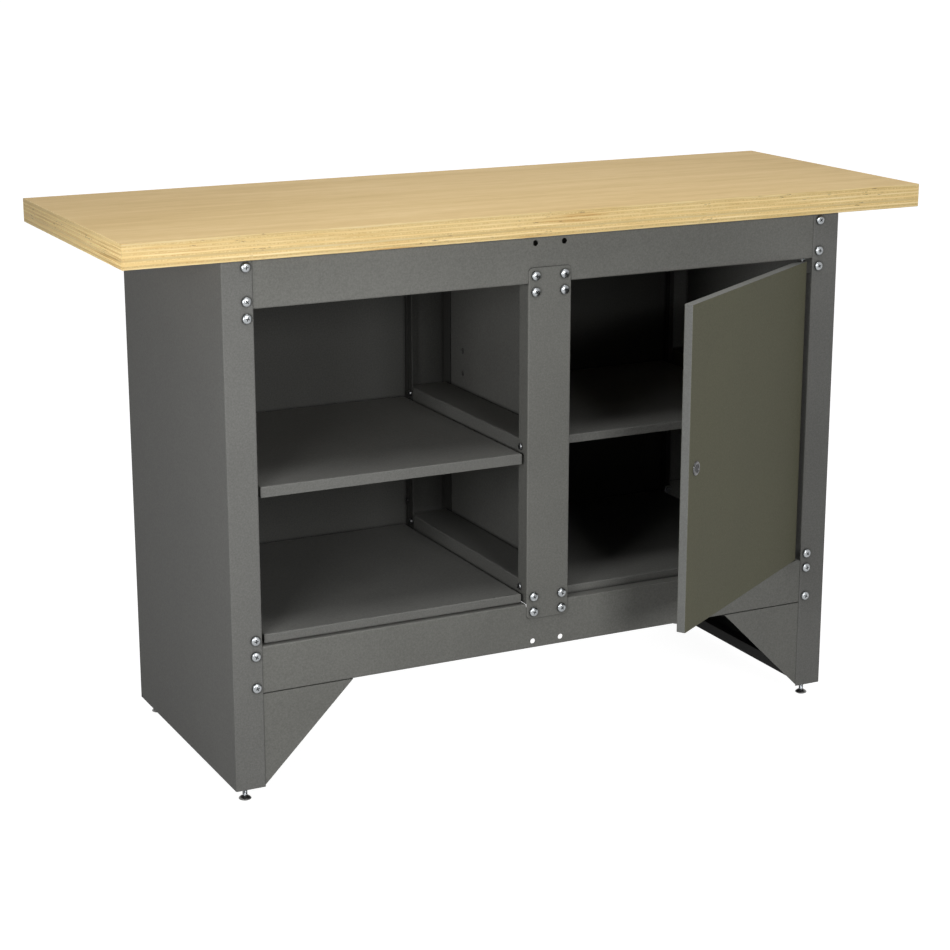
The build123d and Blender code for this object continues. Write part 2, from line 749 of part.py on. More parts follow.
for corner, (x, y) in foot_places.items():
    with BuildPart() as foot_stud:
        with BuildSketch(Plane.XY.offset(foot_pad_floor)):
            with Locations((x, y)):
                Circle(foot_stud_diameter / 2)
        extrude(amount=stud_top - foot_pad_floor)
        chamfer(foot_stud.edges().sort_by(Axis.Z)[-1], length=foot_stud_chamfer)
    foot_stud.part.label = f"{corner}_foot_stud"
    export_step(foot_stud.part, f"parts/{corner}_foot_stud.step")

    with BuildPart() as foot_pad:
        with BuildSketch():
            with Locations((x, y)):
                Circle(foot_pad_diameter / 2)
        extrude(amount=foot_pad_rim)
        with BuildSketch(Plane.XY.offset(foot_pad_rim)):
            with Locations((x, y)):
                Circle(foot_pad_diameter / 2)
        with BuildSketch(Plane.XY.offset(foot_pad_height)):
            with Locations((x, y)):
                Circle(foot_pad_neck_diameter / 2)
        loft()
        with BuildSketch(Plane.XY.offset(foot_pad_floor)):
            with Locations((x, y)):
                Circle(foot_stud_diameter / 2 + thread_clearance)
        extrude(amount=foot_pad_height, mode=Mode.SUBTRACT)
    foot_pad.part.label = f"{corner}_foot_pad"
    export_step(foot_pad.part, f"parts/{corner}_foot_pad.step")

    with BuildPart() as foot_lock_nut:
        with Locations((x, y, foot_rail_z - seam - foot_nut_height)):
            add(lock_ring)
    foot_lock_nut.part.label = f"{corner}_foot_lock_nut"
    export_step(foot_lock_nut.part, f"parts/{corner}_foot_lock_nut.step")

# Frame screws and nuts: pan heads on the front and rear faces, nuts behind the rails
frame_screw = recess_screw(
    frame_screw_diameter,
    frame_screw_length,
    frame_head_diameter,
    frame_head_height,
    frame_head_round,
    frame_recess_span,
    frame_recess_depth,
)
frame_nut = hex_nut(frame_nut_flats, frame_nut_height, frame_screw_diameter)
with BuildPart() as frame_screws:
    with Locations(*[Location((x, front_y, z), (90, 0, 0)) for x, z in frame_holes]):
        add(frame_screw)
    with Locations(*[Location((x, back_y, z), (-90, 0, 0)) for x, z in frame_holes]):
        add(frame_screw)
frame_screws.part.label = "frame_screws"
export_step(frame_screws.part, "parts/frame_screws.step")

with BuildPart() as frame_nuts:
    with Locations(*[Location((x, nut_y, z), (-90, 0, 0)) for x, z in frame_holes]):
        add(frame_nut)
    with Locations(*[Location((x, back_y - 2 * frame_sheet, z), (90, 0, 0)) for x, z in frame_holes]):
        add(frame_nut)
frame_nuts.part.label = "frame_nuts"
export_step(frame_nuts.part, "parts/frame_nuts.step")

# Bracket screws and nuts: through the posts' flanges and the centre brackets, and the partition on the right
small_screw = recess_screw(
    small_screw_diameter,
    small_screw_length,
    small_head_diameter,
    small_head_height,
    small_head_round,
    small_recess_span,
    small_recess_depth,
)
small_nut = hex_nut(small_nut_flats, small_nut_height, small_screw_diameter)
right_head_x = post_x + pan_sheet
with BuildPart() as bracket_screws:
    with Locations(*[Location((-post_x, y, z), (0, -90, 0)) for y, z in bracket_screw_spots]):
        add(small_screw)
    with Locations(*[Location((right_head_x, y, z), (0, 90, 0)) for y, z in right_screw_spots]):
        add(small_screw)
bracket_screws.part.label = "bracket_screws"
export_step(bracket_screws.part, "parts/bracket_screws.step")

left_nut_x = centre_leg_x + frame_sheet
right_nut_x = centre_skirt_x - frame_sheet
with BuildPart() as bracket_nuts:
    with Locations(*[Location((left_nut_x, y, z), (0, 90, 0)) for y, z in bracket_screw_spots]):
        add(small_nut)
    with Locations(*[Location((right_nut_x, y, z), (0, -90, 0)) for y, z in right_screw_spots]):
        add(small_nut)
bracket_nuts.part.label = "bracket_nuts"
export_step(bracket_nuts.part, "parts/bracket_nuts.step")

# Back panel screws: short self-tapping screws from inside each bay
panel_screw_length = 2 * pan_sheet + back_panel_fit + frame_sheet
panel_screw = recess_screw(
    panel_screw_diameter,
    panel_screw_length,
    panel_head_diameter,
    panel_head_height,
    panel_head_round,
    panel_recess_span,
    panel_recess_depth,
)
with BuildPart() as back_panel_screws:
    with Locations(
        *[
            Location((end + side * pan_sheet, back_screw_y, z), (0, 90 * side, 0))
            for panel_ends in back_panel_ends.values()
            for end, side in zip(panel_ends, (1, -1))
            for z in back_screw_z
        ]
    ):
        add(panel_screw)
back_panel_screws.part.label = "back_panel_screws"
export_step(back_panel_screws.part, "parts/back_panel_screws.step")

# Gusset screws and nuts: up through the gussets' lips and the lower rail's bottom flange
gusset_spots = [(side * x, gusset_screw_y) for side in (-1, 1) for x in gusset_screw_x]
with BuildPart() as gusset_screws:
    with Locations(*[Location((x, y, gusset_top - frame_sheet), (180, 0, 0)) for x, y in gusset_spots]):
        add(small_screw)
gusset_screws.part.label = "gusset_screws"
export_step(gusset_screws.part, "parts/gusset_screws.step")

with BuildPart() as gusset_nuts:
    with Locations(*[(x, y, lower_rail_bottom + frame_sheet) for x, y in gusset_spots]):
        add(small_nut)
gusset_nuts.part.label = "gusset_nuts"
export_step(gusset_nuts.part, "parts/gusset_nuts.step")

# Worktop screws: up through the top rails' flanges into the plywood
worktop_screw_shank = worktop_screw_length - seam
worktop_screw = recess_screw(
    small_screw_diameter,
    worktop_screw_shank,
    small_head_diameter,
    small_head_height,
    small_head_round,
    small_recess_span,
    small_recess_depth,
)
worktop_spots = [(x, y) for x in worktop_screw_x for y in worktop_screw_y]
with BuildPart() as worktop_screws:
    with Locations(*[Location((x, y, frame_top - frame_sheet), (180, 0, 0)) for x, y in worktop_spots]):
        add(worktop_screw)
worktop_screws.part.label = "worktop_screws"
export_step(worktop_screws.part, "parts/worktop_screws.step")

# Shelf pegs: short pins in the partition, under the left end of the cupboard shelf
with BuildPart() as shelf_pegs:
    with BuildSketch(Plane.YZ.offset(post_x)):
        with Locations(*[(y, peg_z) for y in peg_y]):
            Circle(peg_diameter / 2)
    extrude(amount=peg_reach)
shelf_pegs.part.label = "shelf_pegs"
export_step(shelf_pegs.part, "parts/shelf_pegs.step")

# Door: a pan of thin sheet with lips folded in behind its upright edges
door_half = door_thickness / 2
door_section = folded(
    [
        (-door_reach + door_lip, door_half),
        (-door_reach, door_half),
        (-door_reach, -door_half),
        (pivot_from_edge, -door_half),
        (pivot_from_edge, door_half),
        (pivot_from_edge - door_lip, door_half),
    ],
    pan_sheet,
    pan_bend,
    Side.LEFT,
)
door_middle = (pivot_from_edge - door_reach) / 2
door_width = pivot_from_edge + door_reach
with BuildPart() as door_pan:
    with BuildSketch(door_plane.offset(door_bottom)):
        add(door_section)
    extrude(amount=door_top - door_bottom)
    for flange_z in (door_bottom, door_top - pan_sheet):
        with BuildSketch(door_plane.offset(flange_z)):
            with Locations((door_middle, 0)):
                RectangleRounded(door_width - pan_sheet, door_thickness - pan_sheet, pan_bend - pan_sheet / 2)
            Circle(pin_diameter / 2 + running_clearance, mode=Mode.SUBTRACT)
        extrude(amount=pan_sheet)
    with BuildSketch(lock_plane):
        Circle(lock_body_diameter / 2 + running_clearance)
    extrude(amount=-pan_sheet, mode=Mode.SUBTRACT)
door_pan.part.label = "door_pan"
export_step(door_pan.part, "parts/door_pan.step")

# Door stiffener: a hat section behind the middle of the door's skin
hat_foot = pan_sheet - door_half
hat_half = stiffener_width / 2
stiffener_section = folded(
    [
        (door_middle - hat_half - stiffener_flange, hat_foot),
        (door_middle - hat_half, hat_foot),
        (door_middle - hat_half, hat_foot + stiffener_depth),
        (door_middle + hat_half, hat_foot + stiffener_depth),
        (door_middle + hat_half, hat_foot),
        (door_middle + hat_half + stiffener_flange, hat_foot),
    ],
    pan_sheet,
    pan_bend,
    Side.LEFT,
)
with BuildPart() as door_stiffener:
    with BuildSketch(door_plane.offset(door_bottom + stiffener_end_gap)):
        add(stiffener_section)
    extrude(amount=door_top - door_bottom - 2 * stiffener_end_gap)
door_stiffener.part.label = "door_stiffener"
export_step(door_stiffener.part, "parts/door_stiffener.step")

# Hinge pins: headed pins in the door's end flanges, turning in the rails' bushes
upper_pin_top = top_rail_bottom + pin_reach
lower_pin_bottom = lower_rail_top - pin_reach
with BuildPart() as upper_hinge_pin:
    with BuildSketch(door_plane.offset(door_top - pan_sheet - pin_head_height)):
        Circle(pin_head_diameter / 2)
    extrude(amount=pin_head_height)
    with BuildSketch(door_plane.offset(door_top - pan_sheet)):
        Circle(pin_diameter / 2)
    extrude(amount=upper_pin_top - door_top + pan_sheet)
upper_hinge_pin.part.label = "upper_hinge_pin"
export_step(upper_hinge_pin.part, "parts/upper_hinge_pin.step")

with BuildPart() as lower_hinge_pin:
    with BuildSketch(door_plane.offset(door_bottom + pan_sheet)):
        Circle(pin_head_diameter / 2)
    extrude(amount=pin_head_height)
    with BuildSketch(door_plane.offset(lower_pin_bottom)):
        Circle(pin_diameter / 2)
    extrude(amount=door_bottom + pan_sheet - lower_pin_bottom)
lower_hinge_pin.part.label = "lower_hinge_pin"
export_step(lower_hinge_pin.part, "parts/lower_hinge_pin.step")

# Hinge bushes: flanged plastic bushes in the rails' flanges
with BuildPart() as upper_hinge_bush:
    with BuildSketch(door_plane.offset(top_rail_bottom - bush_flange_height)):
        Circle(bush_flange_diameter / 2)
    extrude(amount=bush_flange_height)
    with BuildSketch(door_plane.offset(top_rail_bottom)):
        Circle(bush_diameter / 2)
    extrude(amount=bush_depth)
    with BuildSketch(door_plane.offset(top_rail_bottom - bush_flange_height)):
        Circle(pin_diameter / 2 + running_clearance)
    extrude(amount=bush_flange_height + bush_depth, mode=Mode.SUBTRACT)
upper_hinge_bush.part.label = "upper_hinge_bush"
export_step(upper_hinge_bush.part, "parts/upper_hinge_bush.step")

with BuildPart() as lower_hinge_bush:
    with BuildSketch(door_plane.offset(lower_rail_top)):
        Circle(bush_flange_diameter / 2)
    extrude(amount=bush_flange_height)
    with BuildSketch(door_plane.offset(lower_rail_top - bush_depth)):
        Circle(bush_diameter / 2)
    extrude(amount=bush_depth)
    with BuildSketch(door_plane.offset(lower_rail_top - bush_depth)):
        Circle(pin_diameter / 2 + running_clearance)
    extrude(amount=bush_flange_height + bush_depth, mode=Mode.SUBTRACT)
lower_hinge_bush.part.label = "lower_hinge_bush"
export_step(lower_hinge_bush.part, "parts/lower_hinge_bush.step")

# Lock: a bezelled housing clamped to the door's skin, with a turning plug and a cam behind
with BuildPart() as lock_housing:
    with BuildSketch(lock_plane):
        Circle(lock_bezel_diameter / 2)
    extrude(amount=lock_bezel_height)
    fillet(lock_housing.edges().group_by(Axis(lock_place, lock_plane.z_dir))[-1], radius=lock_bezel_round)
    with BuildSketch(lock_plane):
        Circle(lock_body_diameter / 2)
    extrude(amount=-lock_body_length)
    with BuildSketch(lock_plane.offset(lock_bezel_height)):
        Circle(plug_diameter / 2 + running_clearance)
    extrude(amount=-lock_bezel_height - lock_body_length, mode=Mode.SUBTRACT)
lock_housing.part.label = "lock_housing"
export_step(lock_housing.part, "parts/lock_housing.step")

with BuildPart() as lock_nut:
    with BuildSketch(lock_plane.offset(-pan_sheet)):
        RegularPolygon(lock_nut_flats / 2, 6, major_radius=False)
        Circle(lock_body_diameter / 2 + thread_clearance, mode=Mode.SUBTRACT)
    extrude(amount=-lock_nut_height)
lock_nut.part.label = "lock_nut"
export_step(lock_nut.part, "parts/lock_nut.step")

cam_front = -lock_body_length - cam_gap
cam_back = cam_front - cam_thickness
with BuildPart() as lock_plug:
    with BuildSketch(lock_plane.offset(lock_bezel_height)):
        Circle(plug_diameter / 2)
    extrude(amount=cam_front - lock_bezel_height)
    with BuildSketch(lock_plane.offset(cam_front)):
        Circle(cam_bore_diameter / 2)
    extrude(amount=-cam_thickness)
    with BuildSketch(lock_plane.offset(lock_bezel_height)):
        Rectangle(key_slot_width, key_slot_length)
    extrude(amount=-key_slot_depth, mode=Mode.SUBTRACT)
    with BuildSketch(lock_plane.offset(cam_back)):
        Circle(cam_screw_diameter / 2 + thread_clearance)
    extrude(amount=cam_screw_length + thread_clearance, mode=Mode.SUBTRACT)
lock_plug.part.label = "lock_plug"
export_step(lock_plug.part, "parts/lock_plug.step")

with BuildPart() as lock_cam:
    with BuildSketch(lock_plane.offset(cam_front)):
        Circle(cam_width / 2)
        with Locations((0, -(cam_length - cam_corner) / 2)):
            Rectangle(cam_width, cam_length - cam_corner)
        with Locations((0, -cam_length / 2)):
            RectangleRounded(cam_width, cam_length, cam_corner)
        Circle(cam_bore_diameter / 2 + thread_clearance, mode=Mode.SUBTRACT)
    extrude(amount=-cam_thickness)
lock_cam.part.label = "lock_cam"
export_step(lock_cam.part, "parts/lock_cam.step")

with BuildPart() as lock_cam_screw:
    with BuildSketch(lock_plane.offset(cam_back)):
        Circle(cam_head_diameter / 2)
    extrude(amount=-cam_head_height)
    with BuildSketch(lock_plane.offset(cam_back)):
        Circle(cam_screw_diameter / 2)
    extrude(amount=cam_screw_length)
lock_cam_screw.part.label = "lock_cam_screw"
export_step(lock_cam_screw.part, "parts/lock_cam_screw.step")

# Lock strike: an angle welded to the partition beside the post, which stops the door and holds the cam
strike_x = post_x + pan_sheet
strike_y = front_y + door_recess + door_thickness + strike_gap
strike_depth = front_y + return_depth - strike_y
with BuildPart() as lock_strike:
    with BuildSketch(Plane.XY.offset(lock_height - strike_height / 2)):
        with Locations((strike_x + strike_reach / 2, strike_y + strike_sheet / 2)):
            Rectangle(strike_reach, strike_sheet)
        with Locations((strike_x + strike_sheet / 2, strike_y + strike_depth / 2)):
            Rectangle(strike_sheet, strike_depth)
    extrude(amount=strike_height)
lock_strike.part.label = "lock_strike"
export_step(lock_strike.part, "parts/lock_strike.step")
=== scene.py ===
import json
import math

import bmesh
import bpy
from mathutils import Matrix, Vector


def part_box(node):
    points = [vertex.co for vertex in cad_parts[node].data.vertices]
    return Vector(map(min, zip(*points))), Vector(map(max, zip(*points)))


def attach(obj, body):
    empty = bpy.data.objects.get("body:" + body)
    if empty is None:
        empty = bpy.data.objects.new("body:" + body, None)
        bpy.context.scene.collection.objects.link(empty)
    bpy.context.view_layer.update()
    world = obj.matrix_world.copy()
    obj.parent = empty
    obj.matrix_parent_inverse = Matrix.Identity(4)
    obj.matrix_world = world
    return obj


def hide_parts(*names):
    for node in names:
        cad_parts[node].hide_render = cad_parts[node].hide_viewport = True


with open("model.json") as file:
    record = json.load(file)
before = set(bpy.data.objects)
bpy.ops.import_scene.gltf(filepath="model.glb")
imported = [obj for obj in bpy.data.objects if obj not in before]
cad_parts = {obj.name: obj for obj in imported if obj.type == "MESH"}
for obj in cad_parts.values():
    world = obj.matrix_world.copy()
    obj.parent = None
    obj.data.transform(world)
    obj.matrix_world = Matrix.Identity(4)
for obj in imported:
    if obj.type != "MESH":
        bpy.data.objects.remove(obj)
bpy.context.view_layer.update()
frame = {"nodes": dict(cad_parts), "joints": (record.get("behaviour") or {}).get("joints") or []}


# Side panels, one at each end of the cabinet.
# Each is one steel sheet folded into a side, two stiles and their returns, powder coated in matt mid grey.
# The coat has a fine pebbled skin and a faint drift in tone. It rounds the edges, and its colour is
# darkened in creases and seams as painted shade.
def shader_node(material, kind, sockets=None, **options):
    made = material.node_tree.nodes.new(kind)
    for option, value in options.items():
        setattr(made, option, value)
    for socket, value in (sockets or {}).items():
        made.inputs[socket].default_value = value
    return made


def tone_ramp(material, stops):
    ramp = shader_node(material, "ShaderNodeValToRGB")
    points = ramp.color_ramp.elements
    while len(points) < len(stops):
        points.new(0.5)
    for point, (position, colour) in zip(points, stops):
        point.position = position
        point.color = (*colour, 1)
    return ramp


# Painted shade: scales colour down where ambient occlusion finds surfaces close by, in creases, seams and
# recesses.
def painted_crease_shade(material, reach, darkest_painted_shade):
    shelter = shader_node(material, "ShaderNodeAmbientOcclusion", {"Distance": reach}, samples=8)
    level = shader_node(
        material, "ShaderNodeMapRange", {"From Min": 0.45, "From Max": 0.96, "To Min": darkest_painted_shade}
    )
    material.node_tree.links.new(shelter.outputs["AO"], level.inputs["Value"])
    return level.outputs["Result"]


def powder_coat(name, shade, light_shade, roughness, sheen):
    paint = bpy.data.materials.new(name)
    paint.use_nodes = True
    link = paint.node_tree.links.new
    shader = paint.node_tree.nodes["Principled BSDF"]
    shader.inputs["Specular IOR Level"].default_value = sheen
    place = shader_node(paint, "ShaderNodeTexCoord")
    drift = shader_node(paint, "ShaderNodeTexNoise", {"Scale": 5.0, "Detail": 3.0})
    pebbles = shader_node(paint, "ShaderNodeTexNoise", {"Scale": 380.0, "Detail": 4.0, "Roughness": 0.65})
    grain = shader_node(paint, "ShaderNodeTexVoronoi", {"Scale": 900.0})
    for texture in (drift, pebbles, grain):
        link(place.outputs["Object"], texture.inputs["Vector"])
    drift_part = 0.3
    pebble_part = 0.7
    drift_share = shader_node(paint, "ShaderNodeMath", {1: drift_part}, operation="MULTIPLY")
    link(drift.outputs["Fac"], drift_share.inputs[0])
    mottle = shader_node(paint, "ShaderNodeMath", {1: pebble_part}, operation="MULTIPLY_ADD")
    link(pebbles.outputs["Fac"], mottle.inputs[0])
    link(drift_share.outputs[0], mottle.inputs[2])
    tone = tone_ramp(paint, [(0.38, shade), (0.64, light_shade)])
    link(mottle.outputs[0], tone.inputs["Fac"])
    shaded = shader_node(paint, "ShaderNodeVectorMath", operation="SCALE")
    link(tone.outputs["Color"], shaded.inputs[0])
    # The coat's colour carries painted shade in its creases.
    link(painted_crease_shade(paint, reach=0.006, darkest_painted_shade=0.3), shaded.inputs["Scale"])
    link(shaded.outputs["Vector"], shader.inputs["Base Color"])
    spread = 0.07
    gloss = shader_node(
        paint, "ShaderNodeMapRange", {"To Min": roughness - spread, "To Max": roughness + spread}
    )
    link(drift.outputs["Fac"], gloss.inputs["Value"])
    link(gloss.outputs["Result"], shader.inputs["Roughness"])
    skin = shader_node(paint, "ShaderNodeMath", operation="ADD")
    link(pebbles.outputs["Fac"], skin.inputs[0])
    link(grain.outputs["Distance"], skin.inputs[1])
    rounded = shader_node(paint, "ShaderNodeBevel", {"Radius": 0.0008}, samples=4)
    bump = shader_node(paint, "ShaderNodeBump", {"Strength": 0.2, "Distance": 0.0004})
    link(skin.outputs[0], bump.inputs["Height"])
    link(rounded.outputs["Normal"], bump.inputs["Normal"])
    link(bump.outputs["Normal"], shader.inputs["Normal"])
    return paint


def finish_nodes(material, *node_names):
    for node_name in node_names:
        for material_slot in frame["nodes"][node_name].material_slots:
            material_slot.material = material


panel_paint = powder_coat("panel_paint", (0.118, 0.118, 0.112), (0.158, 0.158, 0.15), 0.54, 0.04)
finish_nodes(panel_paint, "left_side_panel", "right_side_panel")

# Rails, front centre post and corner gussets.
# Folded channels and plates bolted between the side panels, coated with them in a grey a touch darker and
# glossier.
rail_paint = powder_coat("rail_paint", (0.115, 0.115, 0.106), (0.154, 0.154, 0.143), 0.5, 0.1)
finish_nodes(rail_paint, "front_top_rail", "front_lower_rail", "rear_top_rail", "rear_lower_rail")
finish_nodes(rail_paint, "front_centre_post", "left_gusset", "right_gusset")

# Foot rails inside the bottom of the side panels.
# Thin channels coated nearly black, a colour that is painted shade for the dim space under the bench.
foot_rail_painted_shade = powder_coat("foot_rail_painted_shade", (0.018, 0.018, 0.017), (0.027, 0.027, 0.026), 0.6, 0.06)
finish_nodes(foot_rail_painted_shade, "left_foot_rail", "right_foot_rail")


# Levelling feet, one under each corner.
# A zinc plated stud with a rolled thread stands in a turned pad of dark plated steel.
# A nut welded to the foot rail takes the thread, and a lock nut under the rail holds it.
def plated_steel(name, shade, light_shade, roughness, deepest_painted_shade):
    metal = bpy.data.materials.new(name)
    metal.use_nodes = True
    link = metal.node_tree.links.new
    shader = metal.node_tree.nodes["Principled BSDF"]
    shader.inputs["Metallic"].default_value = 1.0
    place = shader_node(metal, "ShaderNodeTexCoord")
    cloud = shader_node(metal, "ShaderNodeTexNoise", {"Scale": 160.0, "Detail": 4.0})
    scratches = shader_node(metal, "ShaderNodeTexNoise", {"Scale": 900.0, "Detail": 2.0})
    for texture in (cloud, scratches):
        link(place.outputs["Object"], texture.inputs["Vector"])
    tone = tone_ramp(metal, [(0.3, shade), (0.7, light_shade)])
    link(cloud.outputs["Fac"], tone.inputs["Fac"])
    shaded = shader_node(metal, "ShaderNodeVectorMath", operation="SCALE")
    link(tone.outputs["Color"], shaded.inputs[0])
    # Painted shade: the metal's colour is darkened in recesses, thread roots and screw crosses.
    link(painted_crease_shade(metal, reach=0.004, darkest_painted_shade=deepest_painted_shade), shaded.inputs["Scale"])
    link(shaded.outputs["Vector"], shader.inputs["Base Color"])
    gloss = shader_node(
        metal, "ShaderNodeMapRange", {"To Min": roughness - 0.06, "To Max": roughness + 0.1}
    )
    link(scratches.outputs["Fac"], gloss.inputs["Value"])
    link(gloss.outputs["Result"], shader.inputs["Roughness"])
    bump = shader_node(metal, "ShaderNodeBump", {"Strength": 0.12, "Distance": 0.0002})
    link(scratches.outputs["Fac"], bump.inputs["Height"])
    link(bump.outputs["Normal"], shader.inputs["Normal"])
    return metal


smooth_angle = math.radians(32)


def turned(name, outline, sides):
    bpy.ops.object.select_all(action="DESELECT")
    bpy.ops.mesh.primitive_plane_add(size=0.001)
    piece = bpy.context.active_object
    piece.name = name
    bpy.ops.object.mode_set(mode="EDIT")
    bpy.ops.mesh.select_all(action="SELECT")
    bpy.ops.mesh.merge(type="CENTER")
    here = Vector((0, 0, 0))
    for step, (radius, height) in enumerate(outline):
        move = Vector((radius, 0, height)) - here
        if step == 0:
            bpy.ops.transform.translate(value=move)
        else:
            bpy.ops.mesh.extrude_region_move(TRANSFORM_OT_translate={"value": move})
        here = here + move
    bpy.ops.mesh.select_all(action="SELECT")
    bpy.ops.mesh.spin(steps=sides, angle=math.tau, center=(0, 0, 0), axis=(0, 0, 1))
    bpy.ops.mesh.select_all(action="SELECT")
    bpy.ops.mesh.remove_doubles(threshold=0.00001)
    bpy.ops.mesh.normals_make_consistent(inside=False)
    bpy.ops.object.mode_set(mode="OBJECT")
    bpy.ops.object.shade_smooth_by_angle(angle=smooth_angle)
    return piece


def copies_at(original, name, places):
    bpy.ops.object.select_all(action="DESELECT")
    for place in places:
        twin = original.copy()
        twin.data = original.data.copy()
        twin.data.transform(place)
        bpy.context.collection.objects.link(twin)
        twin.select_set(True)
        bpy.context.view_layer.objects.active = twin
    if len(places) > 1:
        bpy.ops.object.join()
    made = bpy.context.active_object
    made.name = name
    return made


# The zinc is given a dull grey, partly its own plating and partly a painted reflection of darker
# surroundings.
zinc_plate = plated_steel("zinc_plate", (0.27, 0.285, 0.295), (0.37, 0.385, 0.395), 0.27, 0.15)
bright_plate = plated_steel("bright_plate", (0.58, 0.6, 0.62), (0.7, 0.72, 0.74), 0.25, 0.6)
dark_plate = plated_steel("dark_plate", (0.15, 0.15, 0.145), (0.22, 0.22, 0.215), 0.3, 0.35)
stud_low, stud_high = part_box("front_left_foot_stud")
pad_low, pad_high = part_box("front_left_foot_pad")
stud_radius = (stud_high.x - stud_low.x) / 2
thread_pitch = 0.00125
thread_depth = 0.0006
stud_point = 0.0015
pad_radius = (pad_high.x - pad_low.x) / 2
pad_neck = 0.0045
pad_rim_height = 0.0026
pad_rim_edge = 0.0008
pad_sole_radius = 0.0068
pad_curve_steps = 8
pad_fullness = 0.75

stud_turns = int((stud_high.z - stud_low.z - stud_point) / thread_pitch)
stud_outline = [(0, stud_low.z), (stud_radius - thread_depth, stud_low.z)]
for turn in range(stud_turns):
    turn_height = stud_low.z + thread_pitch * turn
    stud_outline.append((stud_radius, turn_height + thread_pitch * 0.5))
    stud_outline.append((stud_radius - thread_depth, turn_height + thread_pitch))
stud_outline += [(stud_radius - stud_point, stud_high.z), (0, stud_high.z)]

pad_outline = [(0, 0), (pad_sole_radius, 0), (pad_radius, pad_rim_height - pad_rim_edge)]
for step in range(pad_curve_steps + 1):
    climb = step / pad_curve_steps
    pad_outline.append(
        (
            pad_radius - (pad_radius - pad_neck) * climb,
            pad_rim_height + (pad_high.z - pad_rim_height) * climb**pad_fullness,
        )
    )
pad_outline.append((0, pad_high.z))

stud_model = turned("stud_model", stud_outline, sides=28)
stud_model.data.materials.append(bright_plate)
pad_model = turned("pad_model", pad_outline, sides=40)
pad_model.data.materials.append(dark_plate)
for corner in ("front_left", "front_right", "rear_left", "rear_right"):
    corner_low, corner_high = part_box(f"{corner}_foot_pad")
    corner_middle = (corner_low + corner_high) / 2
    corner_place = Matrix.Translation((corner_middle.x, corner_middle.y, 0))
    threaded_stud = copies_at(stud_model, f"{corner}_threaded_stud", [corner_place])
    turned_pad = copies_at(pad_model, f"{corner}_turned_pad", [corner_place])
    for foot_piece, foot_node in ((threaded_stud, "foot_stud"), (turned_pad, "foot_pad")):
        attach(foot_piece, f"{corner}_foot")
        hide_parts(f"{corner}_{foot_node}")
    finish_nodes(zinc_plate, f"{corner}_foot_lock_nut")
bpy.data.objects.remove(stud_model)
bpy.data.objects.remove(pad_model)
finish_nodes(zinc_plate, "foot_weld_nuts")


# Frame screws, twenty at the front and twenty at the back.
# Zinc plated pan heads with a cross recess, pressed cold and driven to no set angle.
# They pass through the stiles and posts into the rails, with a nut behind each.
def boolean_cut(piece, cutter):
    cut = piece.modifiers.new("cut", "BOOLEAN")
    cut.object = cutter
    cut.operation = "DIFFERENCE"
    cut.solver = "EXACT"
    bpy.context.view_layer.objects.active = piece
    bpy.ops.object.modifier_apply(modifier=cut.name)
    bpy.data.objects.remove(cutter)


def tapered_bar(length, width, depth, height, taper):
    bpy.ops.object.select_all(action="DESELECT")
    bpy.ops.mesh.primitive_cube_add(size=1, location=(0, 0, height), scale=(length, width, 2 * depth))
    bar = bpy.context.active_object
    bpy.ops.object.transform_apply(location=True, rotation=True, scale=True)
    bpy.ops.object.mode_set(mode="EDIT")
    shape = bmesh.from_edit_mesh(bar.data)
    for corner in shape.verts:
        corner.select = corner.co.z < height
    shape.select_flush_mode()
    bmesh.update_edit_mesh(bar.data)
    bpy.ops.transform.resize(value=(taper, taper, 1), center_override=(0, 0, height - depth))
    bpy.ops.object.mode_set(mode="OBJECT")
    return bar


def pan_head_screw(name, head_radius, head_height, shank_radius, shank_length, recess):
    recess_span, recess_width, recess_depth = recess
    crown_steps = 9
    flatness = 0.55
    foot_edge = 0.0006
    outline = [(0, head_height)]
    for step in range(1, crown_steps + 1):
        lean = math.radians(90) * step / crown_steps
        rise = (head_height - foot_edge) * math.cos(lean) ** flatness if step < crown_steps else 0
        outline.append((head_radius * math.sin(lean), foot_edge + rise))
    outline += [(head_radius, 0), (shank_radius, 0), (shank_radius, -shank_length), (0, -shank_length)]
    screw = turned(name, outline, sides=48)
    for quarter in (0, 90):
        bar = tapered_bar(recess_span, recess_width, recess_depth, head_height, taper=0.55)
        bar.data.transform(Matrix.Rotation(math.radians(quarter), 4, "Z"))
        boolean_cut(screw, bar)
    bpy.ops.object.select_all(action="DESELECT")
    screw.select_set(True)
    bpy.context.view_layer.objects.active = screw
    bpy.ops.object.shade_smooth_by_angle(angle=smooth_angle)
    return screw


front_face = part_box("front_centre_post")[0].y
rear_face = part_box("rear_centre_post")[1].y
hole_pitch = 0.0255
stile_hole_inset = 0.038
row_inset = 0.0115
stile_hole_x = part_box("right_side_panel")[1].x - stile_hole_inset
post_hole_x = hole_pitch
top_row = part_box("front_top_rail")[1].z - row_inset
bottom_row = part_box("front_lower_rail")[0].z + row_inset
frame_rows = [top_row - hole_pitch * step for step in (0, 2, 3)]
frame_rows += [bottom_row + hole_pitch * step for step in (0, 2, 3)]
end_rows = (frame_rows[0], frame_rows[3])
frame_screw_spots = [(x, z) for x in (-stile_hole_x, stile_hole_x) for z in frame_rows]
post_rows = [z for z in frame_rows if z not in end_rows]
frame_screw_spots += [(x, z) for x in (-post_hole_x, post_hole_x) for z in post_rows]
driven_angle = 37.0
frame_screw_places = []
for count, (x, z) in enumerate(frame_screw_spots):
    driven = Matrix.Rotation(math.radians(driven_angle * count), 4, "Z")
    for face_y, quarter in ((front_face, 90), (rear_face, -90)):
        facing = Matrix.Rotation(math.radians(quarter), 4, "X")
        frame_screw_places.append(Matrix.Translation((x, face_y, z)) @ facing @ driven)
